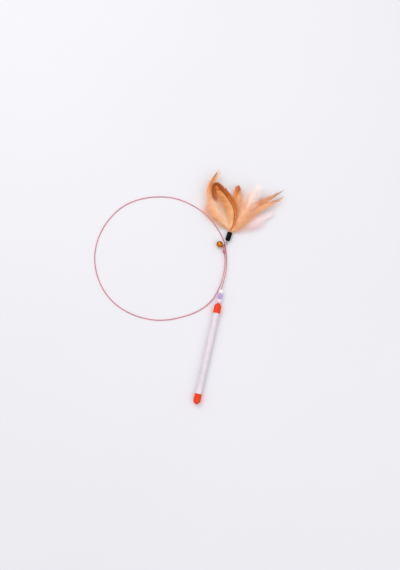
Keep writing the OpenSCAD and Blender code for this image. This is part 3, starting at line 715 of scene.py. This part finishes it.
class Feather:
    """A feather or plume in the making: closed strands, a web and a shaft along one vane. Each corner
    carries marks for its finish: its tone, how far out on the barb and along the shaft it is, its side
    and its barb."""

    MARKS = ("tone", "reach", "along", "side", "barb")

    def __init__(self, vane, seed, clear=CLEAR_OF_TABLE):
        self.vane, self.chance, self.lowest = vane, random.Random(seed), clear * MM
        self.corners, self.faces, self.marks = [], [], []

    def corner(self, point, tone, reach, along, side=0, barb=0):
        point = MOUTH_FRAME @ (point * MM)
        point.z = max(point.z, self.lowest)
        self.corners.append(point)
        self.marks.append((tone, reach, along, side, barb))

    def strand(self, points, width, thick, normal, tone, along, hand, barb, taper=0.7):
        """One strand of three sides that thins out to a point. hand is -1 on the left vane and 1 on
        the right."""
        first, last = len(self.corners), len(points) - 1
        for k, point in enumerate(points[:-1]):
            ahead = points[k + 1] - points[max(k - 1, 0)]
            if ahead.length < TINY:
                ahead = Vector((0, 1, 0))
            across = ahead.cross(normal)
            across = across.normalized() if across.length > TINY else Vector((1, 0, 0))
            share = k / last
            half = width * (1 - share ** 2 * taper) / 2
            for side, rise in ((-half, 0), (half, 0), (0, thick)):
                self.corner(point + across * side + normal * rise, tone, share, along, hand, barb)
        self.corner(points[-1], tone, 1, along, hand, barb)
        for k in range(last - 1):
            a = first + 3 * k
            for m in range(3):
                n = (m + 1) % 3
                self.faces.append((a + m, a + n, a + 3 + n, a + 3 + m))
        a, tip = first + 3 * (last - 1), len(self.corners) - 1
        for m in range(3):
            self.faces.append((a + m, a + (m + 1) % 3, tip))
        self.faces.append((first + 2, first + 1, first))

    def shaft(self, root_radius, tip_radius, until, proud, steps=36, sides=8):
        """Lays the round shaft from the quill to a share of the way to the tip. proud lifts it through
        the barbs above it, and its tone of -1 marks it for the finish."""
        vane, first = self.vane, len(self.corners)
        last = vane.station(until)
        points, radii = [], []
        for k in range(steps + 1):
            station = last * k / steps
            place, _, _, over, _ = vane.at(station)
            share = max(0, (station - vane.start) / (last - vane.start))
            points.append(place + over * proud * min(1, share * 5))
            radii.append(root_radius + (tip_radius - root_radius) * share ** 0.7)
        for k, (point, radius) in enumerate(zip(points, radii)):
            ahead = (points[min(k + 1, steps)] - points[max(k - 1, 0)]).normalized()
            across = ahead.cross(UP).normalized()
            over = across.cross(ahead)
            for m in range(sides):
                turn = 2 * math.pi * m / sides
                self.corner(point + (across * math.cos(turn) + over * math.sin(turn)) * radius,
                            -1, 0, k / steps)
        for k in range(steps):
            a = first + sides * k
            for m in range(sides):
                n = (m + 1) % sides
                self.faces.append((a + m, a + sides + m, a + sides + n, a + n))
        end = first + sides * steps
        self.faces.append(tuple(first + m for m in range(sides)))
        self.faces.append(tuple(end + m for m in reversed(range(sides))))

    def web(self, sweep, droop, until, cover, slices=70, strips=5, thick=0.12):
        """The thin web that the barbs lie on, a closed sheet on both sides of the shaft."""
        vane, first, row = self.vane, len(self.corners), 2 * strips + 1
        for k in range(slices + 1):
            station = vane.start + (until - vane.start) * k / slices
            place, _, side, over, widths = vane.at(station)
            close = min(1, k / 4 + 0.1, (slices - k) / 5 + 0.05)
            for sheet in (0, -thick):
                for m in range(-strips, strips + 1):
                    share = abs(m) / strips
                    wide = widths[0 if m < 0 else 1] * cover * close * share
                    wave = math.sin(station * 1.9 + m) * 0.05 * share
                    point = place + side * math.copysign(wide, m) + over * (sheet + wave - droop * wide)
                    self.corner(point, 0.75, share * cover, vane.share(station),
                                math.copysign(min(1, abs(m)), m), station - wide * sweep)
        for k in range(slices):
            a, b = first + 2 * row * k, first + 2 * row * (k + 1)
            for m in range(2 * strips):
                self.faces.append((a + m, a + m + 1, b + m + 1, b + m))
                self.faces.append((a + row + m, b + row + m, b + row + m + 1, a + row + m + 1))
            self.faces.append((a, b, b + row, a + row))
            self.faces.append((a + row - 1, a + 2 * row - 1, b + 2 * row - 1, b + row - 1))
        last = first + 2 * row * slices
        for m in range(2 * strips):
            self.faces.append((first + m, first + row + m, first + row + m + 1, first + m + 1))
            self.faces.append((last + m, last + m + 1, last + row + m + 1, last + row + m))

    def hackle(self, look, sweep, split, taper=0.55, onward=(0, 0), droop=0.1, cover=0.72, steps=4):
        """Fills the vane with barbs. Their ends draw together in tufts, as a stroked feather's do.
        sweep is how far they lean forward and split how far they draw together. onward draws the last
        barbs on the left and the right further on, in millimetres."""
        vane, chance, width = self.vane, self.chance, look.barb_width / MM
        self.web(sweep, droop, min(vane.fork, vane.size - 0.5), cover)
        for which, hand in enumerate((-1, 1)):
            station = tuft_end = vane.start
            pitch = (vane.size - station) / look.barbs
            while station < vane.size:
                if station >= tuft_end:
                    tuft = chance.uniform(1.2, 4.2)
                    tuft_middle = station + tuft * chance.uniform(0.3, 0.8)
                    tuft_end = station + tuft
                    tuft_length = 1 + chance.uniform(-0.25, 0.1)
                    tuft_rise = chance.uniform(-0.1, 0.12)
                    tuft_tone = chance.random()
                drawn = station + (tuft_middle - station) * split * chance.uniform(0.6, 1)
                place, ahead, side, over, widths = vane.at(drawn)
                reach = widths[which] * tuft_length * (1 + chance.uniform(-0.06, 0.04))
                if chance.random() < 0.08:
                    reach *= chance.uniform(1.1, 1.45)
                forward = reach * sweep + 1.5
                root_station = min(max(station - forward, vane.start * 0.5), vane.fork)
                root, root_ahead, root_side, root_over, _ = vane.at(root_station)
                end = place + side * hand * reach - over * droop * reach + over * tuft_rise
                end += ahead * onward[which] * max(0, vane.share(drawn) - 0.8) / 0.2
                bend = (root + root_side * hand * reach * 0.62 + root_ahead * (station - root_station) * 0.34
                        + root_over * (0.15 + tuft_rise))
                tone = min(1, max(0, 0.55 * tuft_tone + 0.45 * chance.random()))
                self.strand(curved(root, bend, end, steps), width * chance.uniform(0.75, 1.15),
                            0.03, over, tone, vane.share(station), hand, root_station, taper)
                station += pitch * chance.uniform(0.7, 1.3)

    def loose_root(self, station):
        """What the vane has at a station, with the place moved a little to one side."""
        root, ahead, side, over, widths = self.vane.at(station)
        stray = min(1, (station - self.vane.start) / STRAY_FROM)
        return root + side * self.chance.uniform(-STRAY, STRAY) * stray, ahead, side, over, widths

    def wisp(self, root, ahead, away, over, size, turn, lean, lift, wave, width, tone, marks, steps=7):
        """One loose wavy strand that leaves the shaft at an angle of turn, and starts out at less."""
        chance = self.chance
        bend = root + (ahead * math.cos(turn * lean) + away * math.sin(turn * lean)) * size * 0.5
        end = root + (ahead * math.cos(turn) + away * math.sin(turn)) * size
        rise, phase = chance.uniform(-lift, lift), chance.uniform(0, 6.28)
        points = curved(root, bend + over * rise * 0.6, end + over * rise, steps)
        sway = wave * chance.uniform(0.3, 1) * min(1, size / 12)
        for k, point in enumerate(points):
            share = k / steps
            swing = away * math.sin(phase + share * 8) + over * math.cos(phase + share * 6) * 0.4
            points[k] = point + swing * sway * share
        self.strand(points, width * chance.uniform(0.7, 1.2), width * 0.15, over,
                    tone + chance.random(), *marks)

    def fluff(self, count, width, between, long, hands=(-1, 1), turns=(0.3, 1.1), tone=2):
        """Loose strands between two shares of the shaft, from the least to the most millimetres long."""
        chance, (near, far) = self.chance, long
        for _ in range(count):
            station = self.vane.station(chance.uniform(*between))
            root, ahead, side, over, _ = self.loose_root(station)
            hand, size = chance.choice(hands), near + (far - near) * chance.random() ** 1.5
            turn = chance.uniform(*turns)
            self.wisp(root, ahead, side * hand, over, size, turn, 0.6, 0.5, 1.2, width, tone,
                      (self.vane.share(station), hand, station))

    def marabou(self, count, width, spread=1.5):
        """Fills a plume with soft wavy strands that thin out past its edge and its tip."""
        chance = self.chance
        for _ in range(count):
            share = 0.97 * chance.random() ** 1.5
            station = self.vane.station(share)
            root, ahead, side, over, widths = self.loose_root(station)
            hand = chance.choice((-1, 1))
            turn = chance.uniform(0.25, 0.95)
            later = self.vane.at(station + widths[0] * 1.2)[4]
            broad = max(later[0 if hand < 0 else 1], MARABOU_LEAST)
            size = min(MARABOU_MOST, broad * spread * chance.uniform(0.35, 1.15) / math.sin(turn))
            self.wisp(root, ahead, side * hand, over, size, turn, 0.7, 0.7, 1.4, width, 0,
                      (share, hand, station))

    def hand_over(self, name, node, slot, finish, dyes):
        """Makes the piece, which stands for its node and rides with the lure."""
        mesh = bpy.data.meshes.new(name)
        mesh.from_pydata(self.corners, [], self.faces)
        for label, numbers in zip(self.MARKS, zip(*self.marks)):
            mesh.attributes.new(label, "FLOAT", "POINT").data.foreach_set("value", numbers)
        piece = new_piece(name, mesh, dyed_feather(finish, dyes))
        take(piece)
        bpy.ops.mesh.normals_make_consistent(inside=False)
        clear_selection()
        stand_for(piece, node, "lure")


def plume(look, index, vane, clear=CLEAR_OF_TABLE):
    """A plume with its thin shaft, its narrow web and its marabou."""
    made = Feather(vane, look.seed + 10 + index, clear)
    made.shaft(0.4, 0.05, until=0.7, proud=-0.7)
    made.web(1.5, 0.02, vane.size * 0.68, 0.35)
    made.marabou(look.fluff, look.fluff_width / MM)
    return made


# Operators

# What the camera looks at, in millimetres from the tip of the top cap
VIEW_TARGET = (-33.8, 22.4, 0)
FILM_HEIGHT = 36
TABLE_SIZE = 60
# The soft lights: place and size in metres, and power as a share of the key light's
LIGHTS = (("key_light", (-0.7, 0.7, 1.3), 0.9, 1.0), ("fill_light", (0.9, -0.5, 1.1), 1.2, 0.35))


class WAND_OT_aim_camera(Operator):
    """Sets the camera above the table, where the wand is seen nearly from above"""
    bl_idname = "wand.aim_camera"
    bl_label = "Aim Camera"

    def execute(self, context):
        look = context.scene.wand_stage
        data = bpy.data.cameras.new("camera")
        data.lens = look.lens
        data.sensor_fit = "VERTICAL"
        data.sensor_height = FILM_HEIGHT
        data.clip_start = 0.05
        camera = new_object("camera", data)
        upward = Vector((-math.sin(look.lean), math.cos(look.lean), 0))
        back = -upward * math.cos(look.elevation) + UP * math.sin(look.elevation)
        over = upward * math.sin(look.elevation) + UP * math.cos(look.elevation)
        turn = Matrix((over.cross(back), over, back)).transposed()
        place = from_tip(*VIEW_TARGET) + back * look.distance
        camera.matrix_world = Matrix.Translation(place) @ turn.to_4x4()
        context.scene.camera = camera
        return {"FINISHED"}


class WAND_OT_lay_wire(Operator):
    """Lays the coated wire from the sleeve in the top cap through its loop to the eye"""
    bl_idname = "wand.lay_wire"
    bl_label = "Wire and Eye"

    def execute(self, context):
        look = context.scene.wand_wire
        finish = coated_wire(look.coat)
        route = [from_tip(*row) for row in [WIRE_START] + smooth(ROUTE, ROUTE_STEPS)]
        wire = bent_wire("wire_run", route, look.diameter, finish)
        eye = bent_wire("wire_eye_run", eye_points(), look.diameter, finish)
        stand_for(wire, "wire", "wand")
        stand_for(eye, "wire_eye", "wand")
        return {"FINISHED"}


class WAND_OT_finish_handle(Operator):
    """Finishes the tube, its two caps and the crimped sleeve"""
    bl_idname = "wand.finish_handle"
    bl_label = "Handle"

    def execute(self, context):
        look = context.scene.wand_handle
        dress("handle_tube", milky_plastic(look.tube))
        vinyl = cap_vinyl(look.cap, look.cap_grain)
        for node in ("top_cap", "end_cap"):
            polish(node, "wand", vinyl)
        dress("wire_stop", metal("sleeve_steel", context.scene.wand_metal.plain, 0.35))
        return {"FINISHED"}


class WAND_OT_finish_beads(Operator):
    """Finishes the three pearly beads"""
    bl_idname = "wand.finish_beads"
    bl_label = "Beads"

    def execute(self, context):
        look = context.scene.wand_beads
        for node, body, colour in (("bead_pink", "first_bead", look.pink),
                                   ("bead_lilac", "second_bead", look.lilac),
                                   ("bead_white", "third_bead", look.white)):
            centre = [(a + b) / 2 for a, b in zip(*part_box(node))]
            polish(node, body, pearl(node + "_pearl", colour, centre))
        return {"FINISHED"}


class WAND_OT_finish_bell(Operator):
    """Finishes the bell's two halves, its shank and its pellet"""
    bl_idname = "wand.finish_bell"
    bl_label = "Bell"

    def execute(self, context):
        look = context.scene.wand_metal
        gold = metal("bell_lacquer", look.gold, 0.13)
        for node in ("bell_front_half", "bell_back_half"):
            polish(node, "bell", gold)
        polish("bell_shank", "bell", metal("shank_wire", shade(look.gold, 0.85), 0.28))
        dress("bell_pellet", metal("pellet_steel", look.plain, 0.3))
        return {"FINISHED"}


class WAND_OT_finish_link(Operator):
    """Finishes the steel link and the loop in the ferrule"""
    bl_idname = "wand.finish_link"
    bl_label = "Link and Loop"

    def execute(self, context):
        steel = metal("link_steel", context.scene.wand_metal.steel, 0.3)
        polish("link", "link", steel)
        polish("ferrule_loop", "lure", steel)
        return {"FINISHED"}


class WAND_OT_finish_ferrule(Operator):
    """Finishes the glossy ferrule and the glue in its mouth"""
    bl_idname = "wand.finish_ferrule"
    bl_label = "Ferrule"

    def execute(self, context):
        look = context.scene.wand_lure
        polish("ferrule", "lure", black_gloss(look.ferrule))
        dress("glue_plug", set_glue(look.glue))
        return {"FINISHED"}


class WAND_OT_feathers(Operator):
    """Makes the right, the curled, the tall and the short feather"""
    bl_idname = "wand.feathers"
    bl_label = "Feathers"

    def execute(self, context):
        look = context.scene.wand_lure
        right = Feather(Vane(RIGHT_ROWS, length=112, number=5, fork=0.7), look.seed)
        right.shaft(0.6, 0.24, until=0.72, proud=0.45)
        right.hackle(look, sweep=2.2, split=0.5, onward=(7, 0))
        right.fluff(450, 0.16, between=(0.02, 0.45), long=(7, 20))
        right.fluff(260, 0.13, between=(0.3, 0.75), long=(6, 14), turns=(0.3, 0.9))
        right.hand_over("long_feather", "feather_right", "hackle_orange", "right_hackle", RIGHT_DYES)
        curled = Feather(Vane(CURLED_ROWS, length=110, number=1), look.seed + 1)
        curled.shaft(0.95, 0.45, until=1.0, proud=0.6)
        curled.hackle(look, sweep=1.3, split=0.4)
        curled.fluff(220, 0.16, between=(0.02, 0.4), long=(6, 14), tone=0)
        curled.fluff(420, 0.2, between=(0.05, 0.4), long=(10, 24), hands=(-1,), turns=(0.4, 1.2))
        curled.fluff(380, 0.2, between=(0.28, 0.52), long=(9, 20), hands=(-1,), turns=(0.5, 1.2), tone=0)
        curled.fluff(260, 0.18, between=(0.8, 1.0), long=(6, 15), hands=(-1,), turns=(0.4, 1.1), tone=0)
        curled.hand_over("curled_feather", "feather_curled", "hackle_brown", "curled_hackle", CURLED_DYES)
        tall = Feather(Vane(TALL_ROWS, length=116, number=2, fork=0.87), look.seed + 2)
        tall.shaft(0.6, 0.2, until=0.9, proud=0.55)
        tall.hackle(look, sweep=2.0, split=0.5)
        tall.fluff(400, 0.15, between=(0.02, 0.6), long=(6, 20))
        tall.fluff(900, 0.24, between=(0.03, 0.42), long=(14, 38), hands=(1,), turns=(0.2, 0.85))
        tall.fluff(320, 0.15, between=(0.08, 0.7), long=(7, 16), hands=(-1,), turns=(0.3, 0.9), tone=0)
        tall.hand_over("tall_feather", "feather_tall", "hackle_orange", "tall_hackle", TALL_DYES)
        short = Feather(Vane(SHORT_ROWS, length=78, number=0), look.seed + 3)
        short.shaft(0.6, 0.15, until=1.0, proud=0.2)
        short.hackle(look, sweep=1.1, split=0.35, taper=0.3)
        short.fluff(500, 0.16, between=(0.02, 0.65), long=(7, 20))
        short.fluff(400, 0.2, between=(0.1, 0.7), long=(8, 20), hands=(1,), turns=(0.3, 1.0))
        short.hand_over("short_feather", "feather_short", "hackle_orange", "short_hackle", SHORT_DYES)
        return {"FINISHED"}


class WAND_OT_plumes(Operator):
    """Makes the pale down and the pink and peach marabou"""
    bl_idname = "wand.plumes"
    bl_label = "Plumes"

    def execute(self, context):
        look = context.scene.wand_lure
        down = plume(look, 0, Vane(DOWN_ROWS, length=82, number=6))
        down.fluff(700, 0.2, between=(0.02, 0.6), long=(8, 24), turns=(0.5, 1.2), tone=0)
        down.fluff(160, 0.1, between=(0.5, 0.95), long=(10, 22), hands=(1,), turns=(0.2, 0.9))
        down.fluff(140, 0.12, between=(0.7, 0.98), long=(8, 17), turns=(0.0, 0.5), tone=0)
        down.hand_over("down_plume", "plume_down", "down_pale", "down_plume_marabou", DOWN_DYES)
        pink = plume(look, 1, Vane(PINK_ROWS, length=74, number=4))
        pink.fluff(600, 0.18, between=(0.0, 0.5), long=(6, 18), hands=(1,), turns=(0.3, 1.3), tone=0)
        pink.fluff(500, 0.16, between=(0.15, 0.9), long=(6, 16), hands=(-1,), tone=0)
        pink.fluff(140, 0.12, between=(0.6, 0.98), long=(8, 17), turns=(0.0, 0.6), tone=0)
        pink.hand_over("pink_plume", "plume_pink", "marabou_pink", "pink_plume_marabou", PINK_DYES)
        peach = plume(look, 2, Vane(PEACH_ROWS, length=56, number=3), CLEAR_OF_WIRE)
        peach.fluff(600, 0.16, between=(0.05, 0.9), long=(8, 20), hands=(-1,), turns=(0.4, 1.3), tone=0)
        peach.hand_over("peach_plume", "plume_peach", "marabou_peach", "peach_plume_marabou", PEACH_DYES)
        return {"FINISHED"}


class WAND_OT_set_stage(Operator):
    """Lays the table and sets the soft studio light"""
    bl_idname = "wand.set_stage"
    bl_label = "Stage"

    def execute(self, context):
        look = context.scene.wand_stage
        clear_selection()
        bpy.ops.mesh.primitive_plane_add(size=TABLE_SIZE, location=(0, 0, 0))
        table = context.active_object
        table.name = "table_top"
        table.data.materials.append(table_paper(look.floor).material)
        context.scene.view_settings.view_transform = "Standard"
        context.scene.world = white_room(look)
        for name, place, size, share in LIGHTS:
            data = bpy.data.lights.new(name, "AREA")
            data.size = size
            data.energy = look.key * share
            lamp = new_object(name, data)
            lamp.location = place
            lamp.rotation_euler = (-Vector(place)).to_track_quat("-Z", "Y").to_euler()
        return {"FINISHED"}


class WAND_PT_pieces(Panel):
    """Lists the wand's pieces and settings"""
    bl_label = "Teaser Wand"
    bl_idname = "WAND_PT_pieces"
    bl_space_type = "VIEW_3D"
    bl_region_type = "UI"
    bl_category = "Teaser Wand"

    def draw(self, context):
        layout = self.layout
        for title, _, attribute in GROUPS:
            box = layout.box()
            box.label(text=title)
            settings = getattr(context.scene, attribute)
            for name in settings.__annotations__:
                box.prop(settings, name)
        for operator in OPERATORS:
            layout.operator(operator.bl_idname)


GROUPS = (("Handle", HandleLook, "wand_handle"), ("Beads", BeadLook, "wand_beads"),
          ("Wire", WireLook, "wand_wire"), ("Metal", MetalLook, "wand_metal"),
          ("Lure", LureLook, "wand_lure"), ("Stage", StageLook, "wand_stage"))
OPERATORS = (WAND_OT_aim_camera, WAND_OT_lay_wire, WAND_OT_finish_handle, WAND_OT_finish_beads,
             WAND_OT_finish_bell, WAND_OT_finish_link, WAND_OT_finish_ferrule, WAND_OT_feathers,
             WAND_OT_plumes, WAND_OT_set_stage)


def register():
    for _, group, attribute in GROUPS:
        bpy.utils.register_class(group)
        setattr(Scene, attribute, PointerProperty(type=group))
    for operator in OPERATORS:
        bpy.utils.register_class(operator)
    bpy.utils.register_class(WAND_PT_pieces)


def unregister():
    bpy.utils.unregister_class(WAND_PT_pieces)
    for operator in reversed(OPERATORS):
        bpy.utils.unregister_class(operator)
    for _, group, attribute in reversed(GROUPS):
        delattr(Scene, attribute)
        bpy.utils.unregister_class(group)


def main():
    register()
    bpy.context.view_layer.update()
    clear_selection()
    bpy.ops.wand.aim_camera()
    bpy.ops.wand.lay_wire()
    bpy.ops.wand.finish_handle()
    bpy.ops.wand.finish_beads()
    bpy.ops.wand.finish_bell()
    bpy.ops.wand.finish_link()
    bpy.ops.wand.finish_ferrule()
    bpy.ops.wand.feathers()
    bpy.ops.wand.plumes()
    bpy.ops.wand.set_stage()


if __name__ == "__main__":
    main()
